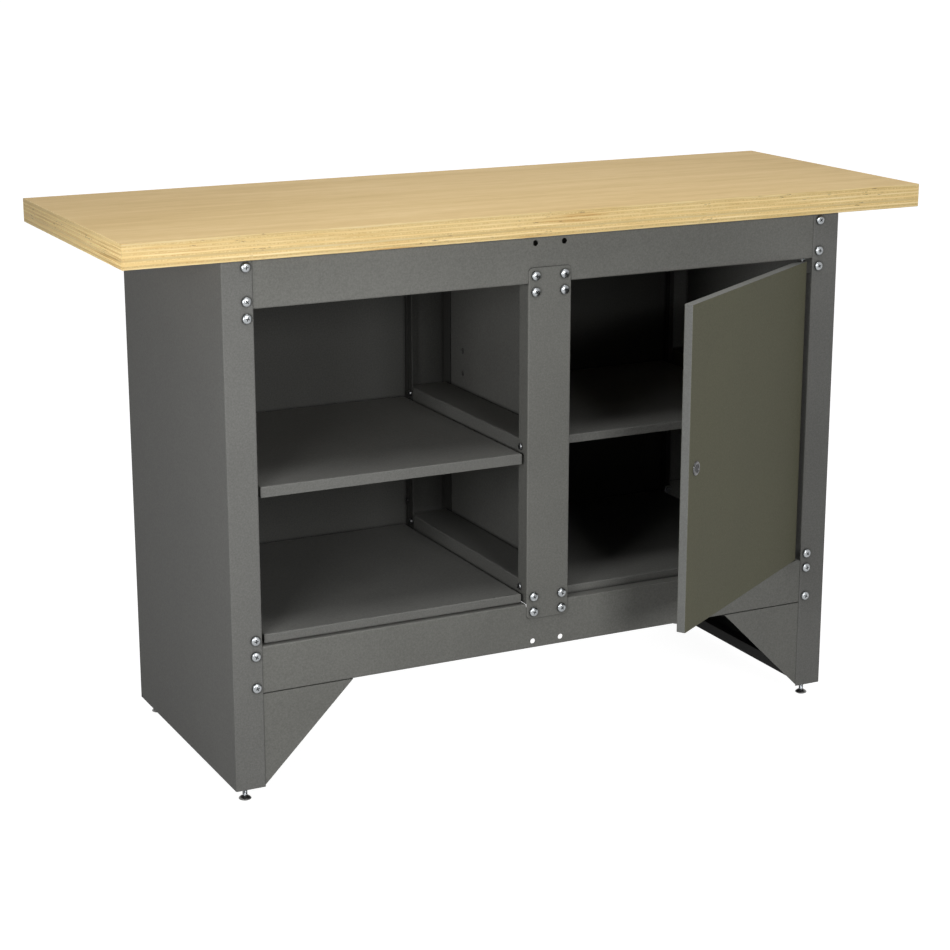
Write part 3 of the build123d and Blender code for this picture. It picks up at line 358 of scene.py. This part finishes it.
frame_screw_model = pan_head_screw(
    "frame_screw_model",
    head_radius=0.0075,
    head_height=0.005,
    shank_radius=0.004,
    shank_length=0.012,
    recess=(0.0086, 0.0019, 0.0026),
)
frame_screw_model.data.materials.append(zinc_plate)
pan_heads = copies_at(frame_screw_model, "pan_head_frame_screws", frame_screw_places)
bpy.data.objects.remove(frame_screw_model)
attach(pan_heads, "frame")
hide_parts("frame_screws")
dull_plate = plated_steel("dull_plate", (0.2, 0.205, 0.21), (0.3, 0.305, 0.315), 0.34, 0.2)
finish_nodes(dull_plate, "frame_nuts", "gusset_screws", "gusset_nuts")

# Partition, rear centre post and back panels, with the shelf pegs and the back panels' screws.
# The partition is thin sheet in a grey a touch darker than the frame's, painted shade for the dim bays.
# The post and panels behind are a much darker grey, painted shade for the dark backs of the bays.
# The pegs and the small screws are blackened steel.
sheet_paint_with_painted_shade = powder_coat("sheet_paint_with_painted_shade", (0.108, 0.108, 0.101), (0.144, 0.144, 0.136), 0.56, 0.1)
back_painted_shade = powder_coat("back_painted_shade", (0.045, 0.045, 0.042), (0.062, 0.062, 0.058), 0.56, 0.1)
black_steel = plated_steel("black_steel", (0.03, 0.03, 0.03), (0.05, 0.05, 0.05), 0.4, 0.4)
finish_nodes(sheet_paint_with_painted_shade, "centre_partition")
finish_nodes(back_painted_shade, "rear_centre_post", "left_back_panel", "right_back_panel")
finish_nodes(black_steel, "shelf_pegs", "back_panel_screws")

# Shelf brackets and their screws.
# Folded strips from front to back, screwed to the posts or welded inside the side panels.
# Brackets and the lock strike take the partition's grey, darkened as painted shade.
finish_nodes(sheet_paint_with_painted_shade, "centre_lower_bracket", "centre_upper_bracket", "left_lower_bracket")
finish_nodes(sheet_paint_with_painted_shade, "left_upper_bracket", "right_upper_bracket", "lock_strike")
finish_nodes(dull_plate, "bracket_screws", "bracket_nuts")

# Shelves: pans of thin sheet with their edges folded down.
# They rest on the brackets, the lower rails and the pegs, in the same coat as the brackets.
# The shelves take the same grey, darkened as painted shade.
finish_nodes(sheet_paint_with_painted_shade, "left_lower_shelf", "left_upper_shelf", "cupboard_floor", "cupboard_shelf")


# Door with its stiffener, hinge pins and bushes.
# A folded pan in a flatter, more olive coat. Round the folded edges its colour is made paler and greyer,
# painted sheen and light on the faces that turn away from the front.
# Steel pins turn in bushes of moulded grey nylon.
def calculated(material, operation, *terms):
    result = shader_node(material, "ShaderNodeMath", operation=operation)
    for socket, term in zip(result.inputs, terms):
        if isinstance(term, (int, float)):
            socket.default_value = term
        else:
            material.node_tree.links.new(term, socket)
    return result.outputs[0]


def mixed_colours(material, share, under, over):
    blend = shader_node(material, "ShaderNodeMix", data_type="RGBA")
    material.node_tree.links.new(share, blend.inputs[0])
    for socket, colour in ((blend.inputs[6], under), (blend.inputs[7], over)):
        if isinstance(colour, tuple):
            socket.default_value = (*colour, 1)
        else:
            material.node_tree.links.new(colour, socket)
    return blend.outputs[2]


def threshold(material, value, low, high):
    step = shader_node(material, "ShaderNodeMapRange", {"From Min": low, "From Max": high})
    material.node_tree.links.new(value, step.inputs["Value"])
    return step.outputs["Result"]


lock_joint = next(joint for joint in frame["joints"] if joint["name"] == "lock_turn")
door_outward = -Vector(lock_joint["axis"]).normalized()
door_paint = powder_coat("door_paint", (0.084, 0.082, 0.055), (0.11, 0.108, 0.073), 0.6, 0.08)
door_link = door_paint.node_tree.links.new
door_shader = door_paint.node_tree.nodes["Principled BSDF"]
door_coat = door_shader.inputs["Base Color"].links[0].from_socket
door_facing = shader_node(door_paint, "ShaderNodeVectorMath", {1: door_outward}, operation="DOT_PRODUCT")
door_link(shader_node(door_paint, "ShaderNodeTexCoord").outputs["Normal"], door_facing.inputs[0])
# Painted sheen: faces that turn away from the door's outer skin get a paler, greyer colour.
door_folded = threshold(
    door_paint, calculated(door_paint, "ABSOLUTE", door_facing.outputs["Value"]), 0.9, 0.4
)
door_edge_painted_sheen = mixed_colours(door_paint, door_folded, (1, 1, 1), (1.6, 1.66, 2.35))
door_coat_with_painted_sheen = shader_node(door_paint, "ShaderNodeVectorMath", operation="MULTIPLY")
door_link(door_coat, door_coat_with_painted_sheen.inputs[0])
door_link(door_edge_painted_sheen, door_coat_with_painted_sheen.inputs[1])
door_link(door_coat_with_painted_sheen.outputs["Vector"], door_shader.inputs["Base Color"])
finish_nodes(door_paint, "door_pan", "door_stiffener")
finish_nodes(dull_plate, "upper_hinge_pin", "lower_hinge_pin")
nylon = bpy.data.materials.new("nylon")
nylon.use_nodes = True
nylon_shader = nylon.node_tree.nodes["Principled BSDF"]
nylon_shader.inputs["Subsurface Weight"].default_value = 0.1
nylon_place = shader_node(nylon, "ShaderNodeTexCoord")
nylon_cloud = shader_node(nylon, "ShaderNodeTexNoise", {"Scale": 600.0, "Detail": 3.0})
nylon_tone = tone_ramp(nylon, [(0.3, (0.1, 0.1, 0.096)), (0.7, (0.14, 0.14, 0.135))])
nylon_gloss = shader_node(nylon, "ShaderNodeMapRange", {"To Min": 0.38, "To Max": 0.55})
nylon_bump = shader_node(nylon, "ShaderNodeBump", {"Strength": 0.15, "Distance": 0.0002})
nylon_link = nylon.node_tree.links.new
nylon_link(nylon_place.outputs["Object"], nylon_cloud.inputs["Vector"])
nylon_link(nylon_cloud.outputs["Fac"], nylon_tone.inputs["Fac"])
nylon_link(nylon_cloud.outputs["Fac"], nylon_gloss.inputs["Value"])
nylon_link(nylon_cloud.outputs["Fac"], nylon_bump.inputs["Height"])
nylon_link(nylon_tone.outputs["Color"], nylon_shader.inputs["Base Color"])
nylon_link(nylon_gloss.outputs["Result"], nylon_shader.inputs["Roughness"])
nylon_link(nylon_bump.outputs["Normal"], nylon_shader.inputs["Normal"])
finish_nodes(nylon, "upper_hinge_bush", "lower_hinge_bush")

# Cam lock near the door's free edge.
# A turned and polished housing with a raised bezel is clamped through the skin by a nut.
# Its plug has a keyway and turns the cam behind the door.
lock_across = Vector((0, 0, 1)).cross(door_outward)
lock_place = Matrix.Translation(lock_joint["pos_m"]) @ Matrix(
    (lock_across, Vector((0, 0, 1)), door_outward)
).transposed().to_4x4()
lock_bore = 0.00605
lock_length = 0.017
lock_thread_pitch = 0.001
lock_thread_root = 0.0075
lock_thread_crest = 0.008
bezel_radius = 0.0115
bezel_height = 0.002
bezel_foot = 0.0003
bezel_steps = 10
bezel_lip = 0.0008
plug_radius = 0.006
plug_face = 0.0012
plug_length = 0.0172
plug_tail_radius = 0.003
plug_tail_length = 0.0192
plug_proud = 0.0002
plug_edge_width = 0.0008
plug_edge_drop = 0.0004
keyway = (0.0074, 0.0017, 0.006)

lock_outline = [(lock_bore, plug_face), (lock_bore + bezel_lip, plug_face)]
for step in range(bezel_steps + 1):
    lean = math.radians(180) * step / bezel_steps
    crown = (bezel_radius - lock_bore - bezel_lip) / 2
    fall = plug_face + (bezel_foot - plug_face) * step / bezel_steps
    lock_outline.append(
        (
            bezel_radius - crown - crown * math.cos(lean),
            fall + (bezel_height - (plug_face + bezel_foot) / 2) * math.sin(lean),
        )
    )
lock_outline += [(bezel_radius, 0), (lock_thread_root, 0)]
for turn in range(int(lock_length / lock_thread_pitch)):
    lock_outline.append((lock_thread_crest, -lock_thread_pitch * (turn + 0.5)))
    lock_outline.append((lock_thread_root, -lock_thread_pitch * (turn + 1)))
lock_outline += [(lock_bore, -lock_length), (lock_bore, plug_face)]
# The housing's nickel is given a near-black colour, a painted reflection of dark surroundings, so that
# only lamp glints show bright.
polished = plated_steel("dark_reflection_nickel", (0.08, 0.08, 0.082), (0.12, 0.12, 0.122), 0.14, 0.2)
lock_barrel = turned("lock_barrel", lock_outline, sides=64)
lock_barrel.data.transform(lock_place)
lock_barrel.data.materials.append(polished)
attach(lock_barrel, "door")
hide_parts("lock_housing")

plug_front = plug_face + plug_proud
plug_outline = [(0, plug_front), (plug_radius - plug_edge_width, plug_front)]
plug_outline += [(plug_radius, plug_face - plug_edge_drop), (plug_radius, -plug_length)]
plug_outline += [(plug_tail_radius, -plug_length), (plug_tail_radius, -plug_tail_length)]
plug_outline.append((0, -plug_tail_length))
key_plug = turned("key_plug", plug_outline, sides=48)
keyway_bar = tapered_bar(*keyway, height=plug_face, taper=1.0)
keyway_bar.data.transform(Matrix.Rotation(math.radians(90), 4, "Z"))
boolean_cut(key_plug, keyway_bar)
key_plug.data.transform(lock_place)
# The plug's nickel is darker still, also a painted dark reflection.
key_plug.data.materials.append(
    plated_steel("plug_dark_reflection_nickel", (0.016, 0.016, 0.017), (0.026, 0.026, 0.027), 0.16, 0.2)
)
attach(key_plug, "lock")
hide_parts("lock_plug")
finish_nodes(dull_plate, "lock_nut", "lock_cam", "lock_cam_screw")

# Worktop: a thick birch plywood slab, screwed up from the top rails.
# Thirteen plies with their grain crossed show at the edges, with a shallow groove at each glue line.
# The top veneer's grain runs along the bench, under a thin coat of oil.
top_low, top_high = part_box("worktop")
top_size = top_high - top_low
top_middle = (top_low + top_high) / 2
top_round = 0.001
ply_count = 13
ply_thickness = top_size.z / ply_count
groove_half = 0.0002
groove_depth = 0.0002
bpy.ops.object.select_all(action="DESELECT")
bpy.ops.mesh.primitive_cube_add(size=1, location=top_middle, scale=top_size)
plywood_top = bpy.context.active_object
plywood_top.name = "plywood_top"
bpy.ops.object.transform_apply(location=True, rotation=True, scale=True)
bpy.ops.object.mode_set(mode="EDIT")
bpy.ops.mesh.select_all(action="SELECT")
bpy.ops.mesh.bevel(offset=top_round, segments=3, affect="EDGES")
for glue_line in range(1, ply_count):
    glue_height = top_low.z + ply_thickness * glue_line
    bpy.ops.mesh.select_all(action="SELECT")
    bpy.ops.mesh.bisect(plane_co=(0, 0, glue_height), plane_no=(0, 0, 1))
    bpy.ops.mesh.bevel(offset=groove_half, segments=2, affect="EDGES")
    slab = bmesh.from_edit_mesh(plywood_top.data)
    bpy.ops.mesh.select_all(action="DESELECT")
    for corner in slab.verts:
        corner.select = abs(corner.co.z - glue_height) < groove_half / 4
    slab.select_flush_mode()
    bmesh.update_edit_mesh(plywood_top.data)
    drawn_in = (1 - 2 * groove_depth / top_size.x, 1 - 2 * groove_depth / top_size.y, 1)
    bpy.ops.transform.resize(value=drawn_in, center_override=top_middle)
bpy.ops.object.mode_set(mode="OBJECT")
bpy.ops.object.shade_smooth_by_angle(angle=smooth_angle)


def stretched_noise(material, place, stretch, detail):
    mapped = shader_node(material, "ShaderNodeMapping", {"Scale": stretch})
    noise = shader_node(
        material, "ShaderNodeTexNoise", {"Scale": 1.0, "Detail": detail, "Roughness": 0.62}
    )
    material.node_tree.links.new(place.outputs["Object"], mapped.inputs["Vector"])
    material.node_tree.links.new(mapped.outputs["Vector"], noise.inputs["Vector"])
    return noise.outputs["Fac"]


veneer = bpy.data.materials.new("top_veneer")
veneer.use_nodes = True
veneer_shader = veneer.node_tree.nodes["Principled BSDF"]
veneer_shader.inputs["Specular IOR Level"].default_value = 0.06
veneer_place = shader_node(veneer, "ShaderNodeTexCoord")
veneer_figure = stretched_noise(veneer, veneer_place, (2.2, 34, 20), 5.0)
veneer_fibre = stretched_noise(veneer, veneer_place, (14, 900, 400), 4.0)
veneer_fleck = stretched_noise(veneer, veneer_place, (24, 120, 60), 3.0)
veneer_drift = stretched_noise(veneer, veneer_place, (1.6, 3.0, 1.0), 2.0)
veneer_sum = calculated(veneer, "MULTIPLY", veneer_figure, 0.4)
for veneer_layer, veneer_share in ((veneer_fibre, 0.16), (veneer_fleck, 0.2), (veneer_drift, 0.24)):
    veneer_sum = calculated(veneer, "MULTIPLY_ADD", veneer_layer, veneer_share, veneer_sum)
veneer_tone = tone_ramp(
    veneer,
    [
        (0.3, (0.53, 0.372, 0.17)),
        (0.48, (0.63, 0.46, 0.228)),
        (0.68, (0.73, 0.555, 0.3)),
    ],
)
veneer.node_tree.links.new(veneer_sum, veneer_tone.inputs["Fac"])
veneer_pores = threshold(veneer, stretched_noise(veneer, veneer_place, (40, 1500, 400), 2.0), 0.66, 0.78)
pore_strength = 0.35
veneer_colour = mixed_colours(
    veneer,
    calculated(veneer, "MULTIPLY", veneer_pores, pore_strength),
    veneer_tone.outputs["Color"],
    (0.4, 0.25, 0.11),
)
veneer.node_tree.links.new(veneer_colour, veneer_shader.inputs["Base Color"])
veneer_gloss = shader_node(veneer, "ShaderNodeMapRange", {"To Min": 0.6, "To Max": 0.8})
veneer.node_tree.links.new(veneer_fibre, veneer_gloss.inputs["Value"])
veneer.node_tree.links.new(veneer_gloss.outputs["Result"], veneer_shader.inputs["Roughness"])
veneer_bump = shader_node(veneer, "ShaderNodeBump", {"Strength": 0.1, "Distance": 0.0003})
veneer.node_tree.links.new(veneer_fibre, veneer_bump.inputs["Height"])
veneer.node_tree.links.new(veneer_bump.outputs["Normal"], veneer_shader.inputs["Normal"])


def crossed_plies(name, left_painted_light_level, right_painted_light_level):
    ply_edge = bpy.data.materials.new(name)
    ply_edge.use_nodes = True
    edge_link = ply_edge.node_tree.links.new
    edge_shader = ply_edge.node_tree.nodes["Principled BSDF"]
    edge_shader.inputs["Specular IOR Level"].default_value = 0.25
    edge_place = shader_node(ply_edge, "ShaderNodeTexCoord")
    edge_axes = shader_node(ply_edge, "ShaderNodeSeparateXYZ")
    edge_link(edge_place.outputs["Object"], edge_axes.inputs["Vector"])
    wander_noise = stretched_noise(ply_edge, edge_place, (9, 9, 30), 3.0)
    wander_range = 0.5
    edge_wander = calculated(
        ply_edge, "MULTIPLY_ADD", wander_noise, wander_range, -wander_range / 2
    )
    ply_height = calculated(
        ply_edge,
        "ADD",
        calculated(
            ply_edge,
            "DIVIDE",
            calculated(ply_edge, "SUBTRACT", edge_axes.outputs["Z"], top_low.z),
            ply_thickness,
        ),
        edge_wander,
    )
    ply_number = calculated(ply_edge, "FLOOR", ply_height)
    crossed = calculated(ply_edge, "PINGPONG", ply_number, 1.0)
    glue_distance = calculated(ply_edge, "PINGPONG", ply_height, 0.5)
    glue_share = threshold(ply_edge, glue_distance, 0.14, 0.02)
    ply_chance = shader_node(ply_edge, "ShaderNodeTexWhiteNoise", noise_dimensions="1D")
    edge_link(ply_number, ply_chance.inputs["W"])
    long_grain = stretched_noise(ply_edge, edge_place, (7, 320, 420), 5.0)
    cross_grain = stretched_noise(ply_edge, edge_place, (320, 7, 420), 5.0)
    long_tone = tone_ramp(
        ply_edge,
        [
            (0.3, (0.64, 0.44, 0.17)),
            (0.5, (0.8, 0.61, 0.29)),
            (0.7, (0.89, 0.73, 0.42)),
        ],
    )
    cross_tone = tone_ramp(
        ply_edge,
        [
            (0.3, (0.6, 0.405, 0.15)),
            (0.5, (0.74, 0.55, 0.245)),
            (0.7, (0.84, 0.67, 0.355)),
        ],
    )
    edge_link(long_grain, long_tone.inputs["Fac"])
    edge_link(cross_grain, cross_tone.inputs["Fac"])
    ply_colour = mixed_colours(ply_edge, crossed, long_tone.outputs["Color"], cross_tone.outputs["Color"])
    # Painted light: the edge colour is scaled along the bench by a level given for each end.
    ply_painted_light_level = shader_node(
        ply_edge,
        "ShaderNodeMapRange",
        {"From Min": top_low.x, "From Max": top_high.x, "To Min": left_painted_light_level, "To Max": right_painted_light_level},
    )
    edge_link(edge_axes.outputs["X"], ply_painted_light_level.inputs["Value"])
    ply_variation = 0.24
    ply_shift = calculated(
        ply_edge, "MULTIPLY_ADD", ply_chance.outputs["Value"], ply_variation, ply_painted_light_level.outputs["Result"]
    )
    ply_varied = shader_node(ply_edge, "ShaderNodeVectorMath", operation="SCALE")
    edge_link(ply_colour, ply_varied.inputs[0])
    edge_link(ply_shift, ply_varied.inputs["Scale"])
    stain = calculated(
        ply_edge,
        "MULTIPLY",
        threshold(ply_edge, stretched_noise(ply_edge, edge_place, (6, 6, 330), 3.0), 0.5, 0.66),
        threshold(ply_edge, stretched_noise(ply_edge, edge_place, (4.5, 4.5, 14), 2.0), 0.5, 0.64),
    )
    stain_strength = 0.8
    stain_share = calculated(ply_edge, "MULTIPLY", stain, stain_strength)
    stained = mixed_colours(ply_edge, stain_share, ply_varied.outputs["Vector"], (0.48, 0.265, 0.075))
    glue_strength = 0.3
    glue_tint = calculated(ply_edge, "MULTIPLY", glue_share, glue_strength)
    glued = mixed_colours(ply_edge, glue_tint, stained, (0.5, 0.31, 0.12))
    # Voids in the plies are painted dark, painted shade in their hollows, and dip a little in the bump.
    void_share = calculated(
        ply_edge,
        "MULTIPLY",
        threshold(ply_edge, stretched_noise(ply_edge, edge_place, (60, 60, 620), 2.0), 0.64, 0.68),
        threshold(ply_edge, stretched_noise(ply_edge, edge_place, (17, 17, 60), 1.0), 0.56, 0.62),
    )
    void_strength = 0.85
    void_painted_shade = calculated(ply_edge, "MULTIPLY", void_share, void_strength)
    voided = mixed_colours(ply_edge, void_painted_shade, glued, (0.13, 0.085, 0.045))
    edge_link(voided, edge_shader.inputs["Base Color"])
    edge_gloss = shader_node(ply_edge, "ShaderNodeMapRange", {"To Min": 0.5, "To Max": 0.75})
    edge_link(cross_grain, edge_gloss.inputs["Value"])
    edge_link(edge_gloss.outputs["Result"], edge_shader.inputs["Roughness"])
    edge_relief = calculated(
        ply_edge, "SUBTRACT", calculated(ply_edge, "ADD", long_grain, cross_grain), void_share
    )
    edge_bump = shader_node(ply_edge, "ShaderNodeBump", {"Strength": 0.22, "Distance": 0.0004})
    edge_link(edge_relief, edge_bump.inputs["Height"])
    edge_link(edge_bump.outputs["Normal"], edge_shader.inputs["Normal"])
    return ply_edge


plywood_top.data.materials.append(veneer)
# The long edges are painted darker towards the left, painted shade against the near lamp's stronger light
# there; the ends are painted paler, painted light for the light they catch.
plywood_top.data.materials.append(crossed_plies("ply_edge", left_painted_light_level=0.62, right_painted_light_level=0.9))
plywood_top.data.materials.append(crossed_plies("ply_end_painted_light", left_painted_light_level=1.14, right_painted_light_level=1.14))
for face in plywood_top.data.polygons:
    if abs(face.normal.z) > 0.8:
        face.material_index = 0
    else:
        face.material_index = 1 if abs(face.normal.y) > abs(face.normal.x) else 2
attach(plywood_top, "frame")
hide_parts("worktop")
finish_nodes(dull_plate, "worktop_screws")

# Floor: a wide pale sheet that shows white and keeps the bench's shadow.
# Near the bench it is a shade under white, so that the shadow can be seen.
bpy.ops.object.select_all(action="DESELECT")
bpy.ops.mesh.primitive_plane_add(size=80, location=(0, 0, 0))
floor = bpy.context.active_object
floor.name = "floor"
floor_paper = bpy.data.materials.new("floor_paper")
floor_paper.use_nodes = True
paper_link = floor_paper.node_tree.links.new
floor_paper.node_tree.nodes.remove(floor_paper.node_tree.nodes["Principled BSDF"])
paper_matt = shader_node(floor_paper, "ShaderNodeBsdfDiffuse", {"Color": (0.26, 0.26, 0.26, 1)})
paper_white = shader_node(floor_paper, "ShaderNodeEmission", {"Color": (1, 1, 1, 1)})
paper_place = shader_node(floor_paper, "ShaderNodeTexCoord")
paper_reach = shader_node(floor_paper, "ShaderNodeVectorMath", operation="LENGTH")
paper_link(paper_place.outputs["Object"], paper_reach.inputs[0])
paper_level = shader_node(
    floor_paper, "ShaderNodeMapRange", {"From Min": 0.5, "From Max": 1.3, "To Min": 0.945, "To Max": 1.0}
)
paper_link(paper_reach.outputs["Value"], paper_level.inputs["Value"])
paper_rays = shader_node(floor_paper, "ShaderNodeLightPath")
paper_seen = calculated(
    floor_paper,
    "MAXIMUM",
    calculated(
        floor_paper, "MAXIMUM", paper_rays.outputs["Is Camera Ray"], paper_rays.outputs["Is Glossy Ray"]
    ),
    paper_rays.outputs["Is Transmission Ray"],
)
paper_link(
    calculated(floor_paper, "MULTIPLY", paper_seen, paper_level.outputs["Result"]),
    paper_white.inputs["Strength"],
)
paper_sum = shader_node(floor_paper, "ShaderNodeAddShader")
paper_link(paper_matt.outputs[0], paper_sum.inputs[0])
paper_link(paper_white.outputs[0], paper_sum.inputs[1])
paper_link(paper_sum.outputs[0], floor_paper.node_tree.nodes["Material Output"].inputs["Surface"])
floor.data.materials.append(floor_paper)

# Studio: a white surround and three soft boxes.
# One stands straight in front, one close by on the left, and the largest hangs over the worktop.
# The surround lights the bench's back and right side, and leaves its front to the boxes.
studio = bpy.data.worlds.new("studio")
bpy.context.scene.world = studio
studio.use_nodes = True
studio_rays = shader_node(studio, "ShaderNodeLightPath")
studio_seen = calculated(
    studio,
    "MAXIMUM",
    calculated(
        studio, "MAXIMUM", studio_rays.outputs["Is Camera Ray"], studio_rays.outputs["Is Glossy Ray"]
    ),
    studio_rays.outputs["Is Transmission Ray"],
)
front_fill = 0.05
back_fill = 0.8
back_right = Vector((0.6, 0.8, 0))
studio_way = shader_node(studio, "ShaderNodeTexCoord")
studio_behind = shader_node(studio, "ShaderNodeVectorMath", {1: back_right}, operation="DOT_PRODUCT")
studio.node_tree.links.new(studio_way.outputs["Generated"], studio_behind.inputs[0])
studio_fill = shader_node(
    studio,
    "ShaderNodeMapRange",
    {"From Min": 0.1, "From Max": 0.7, "To Min": front_fill, "To Max": back_fill},
)
studio.node_tree.links.new(studio_behind.outputs["Value"], studio_fill.inputs["Value"])
studio_white = studio.node_tree.nodes["Background"]
studio_white.inputs["Color"].default_value = (1, 1, 1, 1)
studio_level = calculated(studio, "MAXIMUM", studio_seen, studio_fill.outputs["Result"])
studio.node_tree.links.new(studio_level, studio_white.inputs["Strength"])
aim = Vector((0, 0.1, 0.5))


def soft_box(name, azimuth, elevation, distance, size, power):
    turn = math.radians(azimuth)
    rise = math.radians(elevation)
    way = Vector((math.sin(turn) * math.cos(rise), -math.cos(turn) * math.cos(rise), math.sin(rise)))
    bpy.ops.object.light_add(type="AREA", location=aim + way * distance)
    lamp = bpy.context.active_object
    lamp.name = name
    lamp.data.shape = "SQUARE"
    lamp.data.size = size
    lamp.data.energy = power
    lamp.visible_camera = False
    lamp.rotation_mode = "QUATERNION"
    lamp.rotation_quaternion = (-way).to_track_quat("-Z", "Y")


soft_box("front_box", azimuth=-2, elevation=14, distance=3.2, size=0.9, power=52)
soft_box("left_box", azimuth=-52, elevation=11, distance=1.9, size=0.6, power=15)
soft_box("top_box", azimuth=-10, elevation=80, distance=2.8, size=1.6, power=42)

# Camera: a long lens to the left of the bench's middle, a little above the worktop.
# Its place, aim and lens were fitted to corner points of the bench in the photo.
camera_turn = math.radians(-26.5529)
camera_rise = math.radians(15.2556)
camera_target = Vector((-0.021508, 0.09, 0.414647))
camera_distance = 3.758973
camera_way = Vector(
    (
        math.sin(camera_turn) * math.cos(camera_rise),
        -math.cos(camera_turn) * math.cos(camera_rise),
        math.sin(camera_rise),
    )
)
bpy.ops.object.camera_add(location=camera_target + camera_way * camera_distance)
camera = bpy.context.active_object
camera.name = "photo_camera"
camera.rotation_mode = "QUATERNION"
camera.rotation_quaternion = (-camera_way).to_track_quat("-Z", "Y")
camera.data.sensor_width = 36
camera.data.lens = 84.604
camera.data.clip_end = 200
bpy.context.scene.camera = camera
bpy.context.scene.view_settings.view_transform = "Standard"
